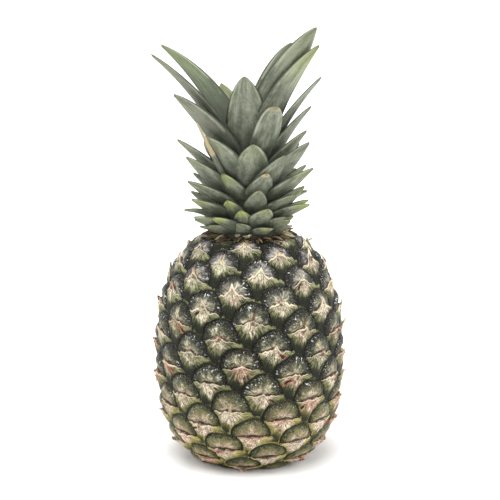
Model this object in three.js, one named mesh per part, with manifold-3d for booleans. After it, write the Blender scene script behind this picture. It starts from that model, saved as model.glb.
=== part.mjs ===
// A whole pineapple standing on its base: the fruit, the cut stalk under it and the leafy crown.
// Millimetres, +Z up. The origin is the centre of the cut stalk, on the surface the fruit stands on.
// Azimuths are degrees from the front (-Y), positive towards the right (+X).
import * as THREE from "three";
import { mergeVertices } from "three/addons/utils/BufferGeometryUtils.js";
import Module from "manifold-3d";

const wasm = await Module();
wasm.setup();

// Driving dimensions of the fruit
const SKIN_RADIUS = 60.8;
const WIDEST_HEIGHT = 69.5;
const LOWER_DEPTH = 77.5;
const LOWER_ROUNDNESS = 2.68;
const UPPER_DEPTH = 83.4;
const UPPER_ROUNDNESS = 2.36;
const FRUIT_TOP = 145.5;
const BASE_HOLLOW_RADIUS = 14;
const BASE_HOLLOW_DEPTH = 3;

// The eyes of the fruit sit on one spiral. Eyes 8, 13 and 21 numbers apart are neighbours.
const DIVERGENCE = 137.47;
const SHALLOW_STEP = 8;
const STEEP_STEP = 13;
const SHALLOW_TURN = SHALLOW_STEP * DIVERGENCE - 3 * 360;
const STEEP_TURN = STEEP_STEP * DIVERGENCE - 5 * 360;
const RISE_PER_EYE = 1.334;
const CROWDING = 0.4;
const FIRST_EYE_AZIMUTH = 14.5;
const FIRST_EYE_HEIGHT = 83.7;
const EYE_SUBDIVISIONS = 4;

// Relief of one eye at the widest part: a dome above the crease, a bract below it, grooves between
const DOME_HALF_WIDTH = 12.5;
const DOME_HEIGHT = 14;
const DOME_RELIEF = 4.4;
const APRON_HALF_WIDTH = 14;
const APRON_LENGTH = 15.5;
const APRON_RELIEF = 3.4;
const GROOVE_DEPTH = 2.9;
const FADE_EYES = 5;
const UNDERSIDE_EYES = 18;

// The bract of each eye: a lip along the crease, a point below it and a dry thorn above it
const LIP_HALF_WIDTH = 12.6;
const LIP_HEIGHT = 0.9;
const KEEL_HEIGHT = 2.6;
const BRACT_LENGTH = 15;
const THORN_HALF_WIDTH = 2.6;
const THORN_LENGTH = 6;
const THORN_HEIGHT = 3.2;
const ROOT_DEPTH = 6;

// Cut stalk
const STALK_RADIUS = 12;
const STALK_HEIGHT = 8;
const STALK_CHAMFER = 1;
const CLEARANCE = 0.35;

// Crown: the core of its stem as [height, radius], then the shape common to all leaves
const STEM_OUTLINE = [[146, 22], [160, 17], [185, 15], [200, 13], [214, 4]];
const STEM_SIDES = 20;
const LONG_LEAF_STATIONS = 4;
const SHORT_LEAF_STATIONS = 3;
const SHORT_LEAF = 44;
const LEAF_ROOT_WIDTH = 0.7;
const LEAF_WRAP = 72;
const LEAF_TIP_WRAP = 26;
const LEAF_THICKNESS = 1.5;
const LEAF_EDGE = 0.7;
const LEAF_SUNK = 4;
const LEAF_SECTION = [[-1, 0], [0, 0], [1, 0], [1, LEAF_EDGE], [0, LEAF_THICKNESS], [-1, LEAF_EDGE]];

// Leaves on the shown side: azimuth, root height, tip radius, tip height, arch, width, bluntness, twist
const SHOWN_LEAVES = [
  [58, 196, 49, 279, 0.12, 35, 2.6, -30],
  [138, 196, 43, 265, 0.13, 27, 3.2, 10],
  [62, 192, 49, 268, 0.14, 31, 2.6, -20],
  [84, 188, 46, 247, 0.1, 24, 2, -16],
  [78, 181, 40, 229, 0.1, 24, 2, -18],
  [64, 174, 40, 215, 0.09, 25, 2, -20],
  [54, 168, 46, 209, 0.06, 25, 2.2, -22],
  [38, 167, 36, 201, 0.05, 25, 2.6, -8],
  [76, 160, 37, 192, 0.07, 23, 1.9, -24],
  [56, 161, 48, 193, 0.05, 24, 2, -24],
  [64, 154, 39, 180, 0.06, 22, 1.9, -24],
  [48, 156, 38, 176, 0.05, 21, 2.1, -20],
  [56, 152, 46, 170, 0.1, 20, 1.8, -26],
  [74, 152, 39, 170, 0.1, 19, 1.8, -26],
  [62, 148, 32, 161, 0.06, 18, 1.8, -24],
  [46, 149, 36, 160, 0.05, 19, 2, -20],
  [58, 147, 32, 155, 0.08, 15, 1.8, -20],
  [-122, 196, 66, 264, 0.18, 30, 2.6, 8],
  [-72, 191, 62, 263, 0.13, 26, 2, 10],
  [-60, 185, 52, 239, 0.12, 31, 2.2, 14],
  [-68, 171, 47, 210, 0.07, 26, 1.9, 18],
  [-42, 168, 48, 224, 0.02, 7, 2, 30],
  [-40, 175, 39, 213, 0.06, 29, 3, 6],
  [-58, 165, 45, 200, 0.06, 26, 1.9, 22],
  [-76, 165, 32, 199, 0.07, 22, 1.9, 20],
  [-72, 160, 36, 188, 0.07, 22, 1.9, 24],
  [-56, 159, 45, 185, 0.06, 25, 1.9, 24],
  [-66, 154, 39, 177, 0.06, 22, 1.9, 24],
  [-52, 154, 44, 174, 0.05, 23, 1.9, 24],
  [-64, 151, 45, 166, 0.2, 17, 1.8, 24],
  [-50, 149, 44, 163, 0.06, 20, 1.9, 22],
  [-60, 147, 35, 155, 0.08, 17, 1.8, 20],
  [-44, 147.5, 36, 157, 0.06, 19, 1.9, 14],
  [-5, 184, 21, 249, 0.04, 31, 3.2, 2],
  [30, 184, 33, 231, 0.03, 20, 5, -8],
  [6, 171, 30, 208, 0.03, 26, 3.2, 0],
  [-34, 164, 27, 189, 0.06, 23, 2.4, 8],
  [20, 164, 32, 190, 0.05, 21, 2.6, -4],
  [12, 157, 33, 180, 0.05, 18, 2.4, 0],
  [-26, 154, 30, 173, 0.08, 18, 2.2, 8],
  [-8, 150, 30, 167, 0.08, 16, 2.2, 4],
  [18, 149.5, 38, 169, 0.06, 19, 2.6, -6],
  [-30, 148.5, 42, 164, 0.08, 17, 2.2, 10],
  [-14, 147, 26, 158, 0.08, 18, 3, 0],
  [22, 147, 33, 156, 0.08, 16, 2.6, -6],
  [42, 149, 34, 162, 0.08, 18, 2.1, -16],
];

// Leaves on the far side and dry bracts round the foot follow the spiral
const FAR_LEAVES = 14;
const FAR_LOWEST = 147.5;
const FAR_HIGHEST = 192;
const FOOT_BRACTS = 4;

// Small upright leaves that close the heart of the crown
const HEART_LEAVES = 3;
const HEART_ROOT = 202;
const HEART_TIP = 236;

// Colours
const SKIN = { color: 0x4a4f38, roughness: 0.62, metalness: 0 };
const LEAF = { color: 0x66735a, roughness: 0.6, metalness: 0 };
const WOOD = { color: 0xb49a6c, roughness: 0.85, metalness: 0 };

const radians = THREE.MathUtils.degToRad;
const { lerp, clamp, smoothstep } = THREE.MathUtils;

// A repeatable random number from 0 to 1 for a whole number
function chance(seed) {
  const x = Math.sin(seed * 127.1 + 311.7) * 43758.5453;
  return x - Math.floor(x);
}

function bodyDirection(azimuth) {
  const a = radians(azimuth - 90);
  return new THREE.Vector3(Math.cos(a), Math.sin(a), 0);
}

function solidOf(geometry) {
  const bare = geometry.clone();
  bare.deleteAttribute("normal");
  bare.deleteAttribute("uv");
  const merged = mergeVertices(bare, 1e-4);
  return new wasm.Manifold(
    new wasm.Mesh({
      numProp: 3,
      vertProperties: merged.attributes.position.array,
      triVerts: new Uint32Array(merged.index.array),
    }),
  );
}

function geometryOf(solid) {
  const { vertProperties, triVerts } = solid.getMesh();
  const geometry = new THREE.BufferGeometry()
    .setAttribute("position", new THREE.BufferAttribute(new Float32Array(vertProperties), 3))
    .setIndex(new THREE.BufferAttribute(new Uint32Array(triVerts), 1));
  geometry.computeVertexNormals();
  return geometry;
}

function largestBody(solid) {
  return solid.decompose().reduce((a, b) => (b.volume() > a.volume() ? b : a));
}

function indexedGeometry(points, faces) {
  const positions = new Float32Array(points.flatMap((p) => [p.x, p.y, p.z]));
  return new THREE.BufferGeometry()
    .setAttribute("position", new THREE.BufferAttribute(positions, 3))
    .setIndex(faces.flat());
}

// Fruit outline from the stalk hollow, under the base and up the side to the crown, by arc length
function fruitOutline() {
  const points = [];
  const steps = 160;
  const lowest = (WIDEST_HEIGHT / LOWER_DEPTH) ** (LOWER_ROUNDNESS / 2);
  const highest = ((FRUIT_TOP - WIDEST_HEIGHT) / UPPER_DEPTH) ** (UPPER_ROUNDNESS / 2);
  const baseRadius = SKIN_RADIUS * (1 - lowest ** 2) ** (1 / LOWER_ROUNDNESS);
  for (let i = 0; i < steps; i++) {
    const t = i / steps;
    points.push({
      r: lerp(BASE_HOLLOW_RADIUS, baseRadius, t),
      z: BASE_HOLLOW_DEPTH * (1 - t) ** 2,
    });
  }
  for (let i = 0; i <= 2 * steps; i++) {
    const angle = lerp(-Math.asin(lowest), Math.asin(highest), i / (2 * steps));
    const roundness = angle < 0 ? LOWER_ROUNDNESS : UPPER_ROUNDNESS;
    const depth = angle < 0 ? LOWER_DEPTH : UPPER_DEPTH;
    points.push({
      r: SKIN_RADIUS * Math.cos(angle) ** (2 / roundness),
      z: WIDEST_HEIGHT + Math.sign(angle) * depth * Math.abs(Math.sin(angle)) ** (2 / roundness),
    });
  }
  return points;
}

// The outline with the eye number at each point: eyes crowd together where the fruit narrows
function numberedOutline() {
  const outline = fruitOutline();
  outline[0].eye = 0;
  for (let i = 1; i < outline.length; i++) {
    const a = outline[i - 1];
    const b = outline[i];
    const length = Math.hypot(b.r - a.r, b.z - a.z);
    const rise = RISE_PER_EYE * (SKIN_RADIUS / ((a.r + b.r) / 2)) ** CROWDING;
    b.eye = a.eye + length / rise;
  }
  const side = outline.findIndex((p) => p.r > SKIN_RADIUS / 2 && p.z > FIRST_EYE_HEIGHT);
  const zero = outline[side].eye;
  for (const p of outline) p.eye -= zero;
  return outline;
}

const outline = numberedOutline();
const LOWEST_EYE = outline[0].eye;
const HIGHEST_EYE = outline[outline.length - 1].eye;

// Radius, height and outward slope of the fruit's skin at an eye number
function skinAt(eye) {
  const e = clamp(eye, LOWEST_EYE, HIGHEST_EYE);
  let i = outline.findIndex((p) => p.eye >= e);
  i = clamp(i, 1, outline.length - 1);
  const a = outline[i - 1];
  const b = outline[i];
  const t = (e - a.eye) / (b.eye - a.eye);
  const along = new THREE.Vector2(b.r - a.r, b.z - a.z).normalize();
  const rise = Math.hypot(b.r - a.r, b.z - a.z) / (b.eye - a.eye);
  return { r: lerp(a.r, b.r, t), z: lerp(a.z, b.z, t), along, rise };
}

// Relief heights shrink with the size of the eye and fade out at both ends of the fruit
function reliefScale(eye) {
  const { r, rise } = skinAt(eye);
  const fade = Math.min(eye - LOWEST_EYE, HIGHEST_EYE - eye) / FADE_EYES;
  return Math.sqrt((r / SKIN_RADIUS) * Math.min(1, rise / RISE_PER_EYE)) * clamp(fade, 0, 1);
}

function skinPoint(eye, turn, height) {
  const { r, z, along } = skinAt(eye);
  const out = bodyDirection(FIRST_EYE_AZIMUTH + turn);
  const radius = r + height * along.y;
  return new THREE.Vector3(out.x * radius, out.y * radius, Math.max(0, z - height * along.x));
}

// Relief of the skin at a place in the eye lattice, a along the shallow rows and b along the steep ones
function relief(a, b) {
  let height = 0;
  const near = [-1, 0, 1, 2];
  for (const i of near) {
    for (const j of near) {
      const da = a - Math.floor(a) - i;
      const db = b - Math.floor(b) - j;
      const u = (da * SHALLOW_TURN + db * STEEP_TURN) * radians(SKIN_RADIUS);
      const v = (da * SHALLOW_STEP + db * STEEP_STEP) * RISE_PER_EYE;
      height = Math.max(height, domeRelief(u, v), apronRelief(u, v));
    }
  }
  return height - GROOVE_DEPTH;
}

function domeRelief(u, v) {
  const reach = Math.hypot(u / DOME_HALF_WIDTH, v / DOME_HEIGHT);
  return v < -1 || reach > 1 ? 0 : DOME_RELIEF * (1 - reach ** 3);
}

function apronRelief(u, v) {
  const down = -v / APRON_LENGTH;
  if (down < 0 || down > 1) return 0;
  const side = Math.abs(u) / (APRON_HALF_WIDTH * (1 - down) ** 0.7);
  return side > 1 ? 0 : APRON_RELIEF * (1 - 0.6 * down) * (1 - 0.55 * side ** 2);
}

// The skin as a mesh that follows the eye lattice round the fruit
function skinSolid() {
  const cells = EYE_SUBDIVISIONS;
  const around = STEEP_STEP * cells;
  const points = [];
  const numbers = new Map();
  const eyeAt = (a, b) => (SHALLOW_STEP * a + STEEP_STEP * b) / cells;
  const inside = ([a, b]) => eyeAt(a, b) >= LOWEST_EYE && eyeAt(a, b) <= HIGHEST_EYE;
  const place = ([a0, b0]) => {
    const turns = Math.floor(a0 / around);
    const a = a0 - turns * around;
    const b = b0 + turns * SHALLOW_STEP * cells;
    const key = `${a},${b}`;
    if (!numbers.has(key)) {
      const eye = eyeAt(a, b);
      const turn = (a * SHALLOW_TURN + b * STEEP_TURN) / cells;
      numbers.set(key, points.length);
      points.push(skinPoint(eye, turn, relief(a / cells, b / cells) * reliefScale(eye)));
    }
    return numbers.get(key);
  };
  const faces = [];
  for (let a = 0; a < around; a++) {
    const first = Math.floor((LOWEST_EYE * cells - SHALLOW_STEP * a) / STEEP_STEP) - 2;
    const last = Math.ceil((HIGHEST_EYE * cells - SHALLOW_STEP * a) / STEEP_STEP) + 1;
    for (let b = first; b <= last; b++) {
      const upper = [[a, b], [a + 1, b + 1], [a, b + 1]];
      const lower = [[a, b], [a + 1, b], [a + 1, b + 1]];
      for (const face of [lower, upper]) {
        if (face.every(inside)) faces.push(face.map(place));
      }
    }
  }
  closeEnds(points, faces);
  return solidOf(indexedGeometry(points, faces));
}

// Joins each open edge of the skin to a point on the axis
function closeEnds(points, faces) {
  const open = new Map();
  for (const [a, b, c] of faces) {
    for (const [p, q] of [[a, b], [b, c], [c, a]]) {
      if (!open.delete(`${q},${p}`)) open.set(`${p},${q}`, [p, q]);
    }
  }
  const bottom = points.push(new THREE.Vector3(0, 0, BASE_HOLLOW_DEPTH)) - 1;
  const top = points.push(new THREE.Vector3(0, 0, FRUIT_TOP)) - 1;
  for (const [p, q] of open.values()) {
    faces.push([q, p, points[p].z > WIDEST_HEIGHT ? top : bottom]);
  }
}

// The bract of one eye, from its lip and thorn down to its lower point, with its root in the flesh
function bractSolid(number) {
  const size = reliefScale(number);
  const turn = number * DIVERGENCE;
  const at = (u, v, height) =>
    skinPoint(number + v / RISE_PER_EYE, turn + u / radians(SKIN_RADIUS), height * size);
  const lean = (chance(number) - 0.5) * 6;
  const thorn = THORN_LENGTH * (0.7 + 0.6 * chance(number + 300));
  const points = [
    at(-LIP_HALF_WIDTH, -0.5, LIP_HEIGHT),
    at(-THORN_HALF_WIDTH, -0.5, KEEL_HEIGHT - 0.6),
    at(0, -2.5, KEEL_HEIGHT),
    at(THORN_HALF_WIDTH, -0.5, KEEL_HEIGHT - 0.6),
    at(LIP_HALF_WIDTH, -0.5, LIP_HEIGHT),
    at(0, -BRACT_LENGTH, -1.8),
    at(lean, thorn, THORN_HEIGHT * (0.8 + 0.5 * chance(number + 600))),
    at(0, -4, -ROOT_DEPTH),
  ];
  const faces = [
    [0, 5, 2], [5, 4, 2], [0, 2, 1], [3, 2, 4], [1, 2, 6], [2, 3, 6],
    [0, 1, 7], [1, 6, 7], [6, 3, 7], [3, 4, 7], [4, 5, 7], [5, 0, 7],
  ];
  return solidOf(indexedGeometry(points, faces));
}

function fruitSolid() {
  const bracts = [];
  for (let n = Math.ceil(LOWEST_EYE + UNDERSIDE_EYES); n < HIGHEST_EYE - FADE_EYES; n++) {
    bracts.push(bractSolid(n));
  }
  const radius = STALK_RADIUS + CLEARANCE;
  const depth = STALK_HEIGHT + CLEARANCE;
  const socket = wasm.Manifold.cylinder(depth + 1, radius, radius, 32).translate([0, 0, -1]);
  return largestBody(wasm.Manifold.union([skinSolid(), ...bracts]).subtract(socket));
}

// Round bar with a chamfered lower end
function stalkSolid() {
  const points = [
    [0, 0],
    [STALK_RADIUS - STALK_CHAMFER, 0],
    [STALK_RADIUS, STALK_CHAMFER],
    [STALK_RADIUS, STALK_HEIGHT],
    [0, STALK_HEIGHT],
  ];
  const profile = points.map(([r, z]) => new THREE.Vector2(r, z));
  return solidOf(new THREE.LatheGeometry(profile, 24).rotateX(Math.PI / 2));
}

function stemRadius(height) {
  const last = STEM_OUTLINE.length - 1;
  const i = clamp(STEM_OUTLINE.findIndex(([z]) => z > height), 1, last);
  const [z0, r0] = STEM_OUTLINE[i - 1];
  const [z1, r1] = STEM_OUTLINE[i];
  return lerp(r0, r1, clamp((height - z0) / (z1 - z0), 0, 1));
}

function stemSolid() {
  const foot = FRUIT_TOP + CLEARANCE;
  const outline = [[foot, 0], [foot, stemRadius(foot)], ...STEM_OUTLINE.slice(1)];
  outline.push([STEM_OUTLINE.at(-1)[0] + 3, 0]);
  const profile = outline.map(([z, r]) => new THREE.Vector2(r, z));
  return solidOf(new THREE.LatheGeometry(profile, STEM_SIDES).rotateX(Math.PI / 2));
}

// Share of a leaf's full width at a share of its length
function leafWidth(s, bluntness) {
  const root = lerp(LEAF_ROOT_WIDTH, 1, smoothstep(s, -0.1, 0.4));
  return root * (1 - s ** bluntness) ** (1.15 - 0.13 * bluntness);
}

// Ring of places across a leaf. Its section is an arc that wraps round the stem at the root and opens
// towards the tip. The ring is a list of [sideways, inward] places.
function leafSection(s, half) {
  const wrap = radians(lerp(LEAF_WRAP, LEAF_TIP_WRAP, smoothstep(s, -0.3, 0.9)));
  const radius = half / wrap;
  return LEAF_SECTION.map(([t, depth]) => [
    (radius + depth) * Math.sin(wrap * t),
    radius - (radius + depth) * Math.cos(wrap * t),
  ]);
}

// One leaf: an arched blade, widest low down, turned a little about its own length, that ends in a point
function leafSolid([azimuth, root, tipRadius, tipHeight, arch, width, bluntness, twist]) {
  const out = bodyDirection(azimuth);
  const across = new THREE.Vector3(-out.y, out.x, 0);
  const start = new THREE.Vector2(stemRadius(root) - LEAF_SUNK, root);
  const end = new THREE.Vector2(tipRadius, tipHeight);
  const chord = end.clone().sub(start);
  const middle = start.clone().add(end).multiplyScalar(0.5);
  middle.x -= arch * chord.y;
  middle.y += arch * chord.x;
  const path = new THREE.QuadraticBezierCurve(start, middle, end);
  const stations = chord.length() < SHORT_LEAF ? SHORT_LEAF_STATIONS : LONG_LEAF_STATIONS;
  const points = [];
  for (let i = 0; i < stations; i++) {
    const s = 1 - (1 - i / stations) ** 1.4;
    const p = path.getPoint(s);
    const heading = path.getTangent(s);
    const turn = radians(twist) * (0.35 + 0.65 * s);
    for (const [place, rise] of leafSection(s, (width / 2) * leafWidth(s, bluntness))) {
      const sideways = place * Math.cos(turn) - rise * Math.sin(turn);
      const inward = place * Math.sin(turn) + rise * Math.cos(turn);
      const r = p.x - heading.y * inward;
      const z = p.y + heading.x * inward;
      points.push(new THREE.Vector3(out.x * r, out.y * r, z).addScaledVector(across, sideways));
    }
  }
  const tip = points.push(new THREE.Vector3(out.x * end.x, out.y * end.x, end.y)) - 1;
  return solidOf(indexedGeometry(points, bladeFaces(stations, tip)));
}

// Faces of a blade of six-sided rings that ends in the point numbered tip
function bladeFaces(stations, tip) {
  const faces = [[0, 1, 4], [0, 4, 5], [1, 2, 3], [1, 3, 4]];
  for (let i = 0; i < stations; i++) {
    for (let j = 0; j < 6; j++) {
      const a = i * 6 + j;
      const b = i * 6 + ((j + 1) % 6);
      if (i === stations - 1) {
        faces.push([b, a, tip]);
      } else {
        faces.push([b, a, a + 6], [b, a + 6, b + 6]);
      }
    }
  }
  return faces;
}

// A leaf on the far side: the higher its root, the longer and more upright it is
function farLeaf(number) {
  const t = number / (FAR_LEAVES - 1);
  const spread = 150 - 70 * t;
  const azimuth = 180 - spread / 2 + ((number * DIVERGENCE * spread) / 360) % spread;
  const root = lerp(FAR_LOWEST, FAR_HIGHEST, t);
  const tipRadius = 33 + 14 * t + 4 * (chance(number) - 0.5);
  const tipHeight = root + 11 + 38 * t ** 1.3 + 6 * (chance(number + 40) - 0.5);
  return [azimuth, root, tipRadius, tipHeight, 0.08 + 0.04 * t, 22 + 6 * t, 2.2, 0];
}

// A short dry bract at the foot of the crown
function footBract(number) {
  const azimuth = number * DIVERGENCE;
  const tipRadius = 29 + 5 * chance(number + 70);
  const tipHeight = 147 + 3 * chance(number + 90);
  return [azimuth, 146.3, tipRadius, tipHeight, 0.14, 10, 2, 0];
}

function heartLeaf(number) {
  const azimuth = 60 + number * DIVERGENCE;
  return [azimuth, HEART_ROOT, 6 + number, HEART_TIP + 3 * number, 0.02, 15, 2.6, 0];
}

function crownSolid() {
  const leaves = [
    ...SHOWN_LEAVES,
    ...Array.from({ length: FAR_LEAVES }, (_, n) => farLeaf(n)),
    ...Array.from({ length: FOOT_BRACTS }, (_, n) => footBract(n)),
    ...Array.from({ length: HEART_LEAVES }, (_, n) => heartLeaf(n)),
  ];
  const whole = wasm.Manifold.union([stemSolid(), ...leaves.map(leafSolid)]);
  return largestBody(whole.trimByPlane([0, 0, 1], FRUIT_TOP + CLEARANCE));
}

function piece(name, solid, look) {
  const mesh = new THREE.Mesh(geometryOf(solid), new THREE.MeshStandardMaterial(look));
  mesh.name = name;
  return mesh;
}

const pineapple = new THREE.Group();
pineapple.name = "pineapple";
pineapple.add(piece("fruit", fruitSolid(), SKIN));
pineapple.add(piece("stalk", stalkSolid(), WOOD));
pineapple.add(piece("crown", crownSolid(), LEAF));

export default pineapple;
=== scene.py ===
"""Looks of a whole pineapple: fruit with eyes, bracts and thorns, cut stalk and leafy crown."""
import math
from itertools import product
from types import SimpleNamespace

import bpy
import numpy as np
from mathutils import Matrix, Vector


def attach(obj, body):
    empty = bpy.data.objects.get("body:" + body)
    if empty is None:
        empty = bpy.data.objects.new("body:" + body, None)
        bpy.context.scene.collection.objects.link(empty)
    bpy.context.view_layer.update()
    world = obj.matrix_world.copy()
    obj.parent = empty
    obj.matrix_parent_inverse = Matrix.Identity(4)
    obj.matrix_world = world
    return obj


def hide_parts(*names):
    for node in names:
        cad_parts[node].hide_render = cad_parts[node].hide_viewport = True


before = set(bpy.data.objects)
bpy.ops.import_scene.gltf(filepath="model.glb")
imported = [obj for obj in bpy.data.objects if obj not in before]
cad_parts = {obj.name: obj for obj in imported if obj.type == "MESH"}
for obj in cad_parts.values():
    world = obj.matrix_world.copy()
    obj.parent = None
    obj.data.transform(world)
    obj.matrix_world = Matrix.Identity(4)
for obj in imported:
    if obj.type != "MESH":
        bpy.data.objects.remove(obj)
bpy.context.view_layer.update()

MM = 0.001

# Outline of the fruit, in millimetres
SKIN_RADIUS = 60.8
WIDEST_HEIGHT = 69.5
LOWER_DEPTH = 77.5
LOWER_ROUNDNESS = 2.68
UPPER_DEPTH = 83.4
UPPER_ROUNDNESS = 2.36
FRUIT_TOP = 145.5
BASE_HOLLOW_RADIUS = 14.0
BASE_HOLLOW_DEPTH = 3.0

# The spiral of the eyes: 8 and 13 eyes on, after about 3 and 5 turns, stand an eye's neighbours
DIVERGENCE = 137.47
SHALLOW_STEP = 8
STEEP_STEP = 13
SHALLOW_TURN = SHALLOW_STEP * DIVERGENCE - 3 * 360
STEEP_TURN = STEEP_STEP * DIVERGENCE - 5 * 360
STEP_INVERSE = pow(SHALLOW_STEP, -1, STEEP_STEP)
RISE_PER_EYE = 1.334
CROWDING = 0.4
FIRST_EYE_AZIMUTH = 14.5
FIRST_EYE_HEIGHT = 83.7
FADE_EYES = 5.0
LEVEL_START = 60
LEVEL_EYES = 120

# Mesh cells per eye, the eyes tried round a place, and a distance past them all
CELLS = 26
NEIGHBOURS = (-1, 0, 1, 2)
FAR_OFF = 99.0

# Relief of one eye at the widest part
DOME_HALF_WIDTH = 12.5
DOME_HEIGHT = 13.0
DOME_ROUNDNESS = 2.2
DOME_RELIEF = 4.0
CREASE_HOLLOW = 3.2
LOBE_SEAM = 0.35
BRACT_SPREAD = 15.5
BRACT_LENGTH = 15.0
BRACT_RELIEF = 3.0
BRACT_RIDGE = 0.9
WING_RELIEF = 0.9
RIB_RELIEF = 0.3
SCAR_DEPTH = 1.1
GROOVE_DEPTH = 2.8
GROOVE_WIDTH = 0.1

# Husk: the dry front of each bract, whose free edge stands off the skin and ends in a thorn
HUSK_HALF_WIDTH = 12.4
HUSK_DEPTH = 3.0
HUSK_THORN = 6.0
HUSK_SUNK = 0.5
HUSK_LIFT = 0.8
HUSK_THICKNESS = 0.45
HUSK_COLUMNS = 26
HUSK_ROWS = 7

# Spine: a dry thread that curls off the edge of some bracts
SPINE_LENGTH = 11.0
SPINE_STAND = 4.5
SPINE_HALF_WIDTH = 0.6
SPINE_THICKNESS = 0.6
SPINE_EDGE = 0.35
SPINE_WRAP = 55.0
SPINE_STATIONS = 9
SPINELESS_SHARE = 0.45

# Lowest eyes without husks or without spines, and highest eyes without both
HUSKLESS_FOOT = 12
SPINELESS_FOOT = 14
BARE_TOP = 1

# Cut end of the stalk: radius and height, from its lower to its upper face
STALK_FACE = ((0, 0), (2, 0), (4, 0), (6, 0), (8, 0), (10, 0), (11, 0))
STALK_SIDE = ((11.6, 0.4), (12, 1), (12, 4), (12, 8), (6, 8), (0, 8))
STALK_SIDES = 64

# Stem of the crown: height and radius
STEM_OUTLINE = ((146, 22), (160, 17), (185, 15), (200, 13), (214, 4))
STEM_TOP = 217
STEM_GAP = 0.35
STEM_RINGS = 24
STEM_SIDES = 48

# Leaves, which are channelled blades like the small bracts and the spines
LEAF_SUNK = 4.0
LEAF_WRAP = 72.0
LEAF_TIP_WRAP = 26.0
LEAF_ROOT_WIDTH = 0.88
LEAF_THICKNESS = 1.3
LEAF_EDGE = 0.35
LEAF_STATIONS = 30
BLADE_ACROSS = 10
BLADE_TIP_THICKNESS = 0.35

# Shown leaves: azimuth, root height, tip radius, tip height, arch, width, bluntness, twist,
# dry share, bright share
SHOWN_LEAVES = (
    (58, 196, 49, 279, 0.12, 35, 2.6, -30, 0, 0.1),
    (138, 196, 43, 265, 0.13, 27, 3.2, 10, 0, 0),
    (62, 192, 49, 268, 0.14, 31, 2.6, -20, 0, 0.35),
    (84, 188, 46, 247, 0.1, 24, 2, -16, 0, 0),
    (78, 181, 40, 229, 0.1, 24, 2, -18, 0, 0),
    (64, 174, 40, 215, 0.09, 25, 2, -20, 0, 0.1),
    (54, 168, 46, 209, 0.06, 25, 2.2, -22, 0.02, 0),
    (38, 167, 36, 201, 0.05, 25, 2.6, -8, 0, 0),
    (76, 160, 37, 192, 0.07, 23, 1.9, -24, 0, 0.2),
    (56, 161, 48, 193, 0.05, 24, 2, -24, 0.02, 0.2),
    (64, 154, 39, 180, 0.06, 22, 1.9, -24, 0, 0.2),
    (48, 156, 38, 176, 0.05, 21, 2.1, -20, 0, 0.1),
    (56, 152, 46, 170, 0.1, 20, 1.8, -26, 0, 0.6),
    (74, 152, 39, 170, 0.1, 19, 1.8, -26, 0, 0.6),
    (62, 148, 32, 161, 0.06, 18, 1.8, -24, 0, 0.4),
    (46, 149, 36, 160, 0.05, 19, 2, -20, 0, 0.2),
    (58, 147, 32, 155, 0.08, 15, 1.8, -20, 0.1, 0.2),
    (-122, 196, 66, 264, 0.18, 30, 2.6, 8, 0, 0.1),
    (-72, 191, 62, 263, 0.13, 26, 2, 10, 0, 0.1),
    (-60, 185, 52, 239, 0.12, 31, 2.2, 14, 0.03, 0.05),
    (-68, 171, 47, 210, 0.07, 26, 1.9, 18, 0, 0.1),
    (-42, 168, 48, 224, 0.02, 5, 1.6, 30, 0.42, 0),
    (-40, 175, 39, 213, 0.06, 29, 3, 6, 0, 0.1),
    (-58, 165, 45, 200, 0.06, 26, 1.9, 22, 0, 0.1),
    (-76, 165, 32, 199, 0.07, 22, 1.9, 20, 0, 0),
    (-72, 160, 36, 188, 0.07, 22, 1.9, 24, 0, 0),
    (-56, 159, 45, 185, 0.06, 25, 1.9, 24, 0, 0.1),
    (-66, 154, 39, 177, 0.06, 22, 1.9, 24, 0, 0),
    (-52, 154, 44, 174, 0.05, 23, 1.9, 24, 0, 0.4),
    (-64, 151, 45, 166, 0.2, 17, 1.8, 24, 0, 0.2),
    (-50, 149, 44, 163, 0.06, 20, 1.9, 22, 0, 0.3),
    (-60, 147, 35, 155, 0.08, 17, 1.8, 20, 0, 0.3),
    (-44, 147.5, 36, 157, 0.06, 19, 1.9, 14, 0, 0.2),
    (-5, 184, 21, 249, 0.04, 31, 3.2, 2, 0, 0),
    (30, 184, 33, 231, 0.03, 20, 5, -8, 0.05, 0),
    (6, 171, 30, 208, 0.03, 26, 3.2, 0, 0, 0.1),
    (-34, 164, 27, 189, 0.06, 23, 2.4, 8, 0, 0.5),
    (20, 164, 32, 190, 0.05, 21, 2.6, -4, 0.08, 0),
    (12, 157, 33, 180, 0.05, 18, 2.4, 0, 0, 0.1),
    (-26, 154, 30, 173, 0.08, 18, 2.2, 8, 0, 0.7),
    (-8, 150, 30, 167, 0.08, 16, 2.2, 4, 0, 0.8),
    (18, 149.5, 38, 169, 0.06, 19, 2.6, -6, 0, 0.3),
    (-30, 148.5, 42, 164, 0.08, 17, 2.2, 10, 0, 0.9),
    (-14, 147, 26, 158, 0.08, 18, 3, 0, 0.02, 0.1),
    (22, 147, 33, 156, 0.08, 16, 2.6, -6, 0, 0.6),
    (42, 149, 34, 162, 0.08, 18, 2.1, -16, 0, 0.1),
)

# Leaves behind them run up the stem in a spread that narrows from foot to top
FAR_LEAVES = 25
FAR_START = 0.96
FAR_LOWEST = 147.5
FAR_HIGHEST = 192.0
FAR_FOOT_SPREAD = 200.0
FAR_TOP_SPREAD = 80.0

# Small upright leaves in the heart of the crown, and small dried bracts round its foot
HEART_LEAVES = 4
HEART_ROOT = 202.0
HEART_TIP = 236.0
FOOT_BRACTS = 90
FOOT_BRACT_ROOT = 146.3
FOOT_BRACT_SEED = 400

# Floor and light: half side in metres; azimuth, elevation and spread in degrees, strength
FLOOR_HALF = 15.0
SKY_STRENGTH = 0.92
LIGHTS = {
    "key": (-20, 76, 44, 3.0),
    "right": (78, 30, 50, 1.8),
    "left": (-88, 30, 50, 1.1),
    "back": (180, 60, 60, 0.6),
}

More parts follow.
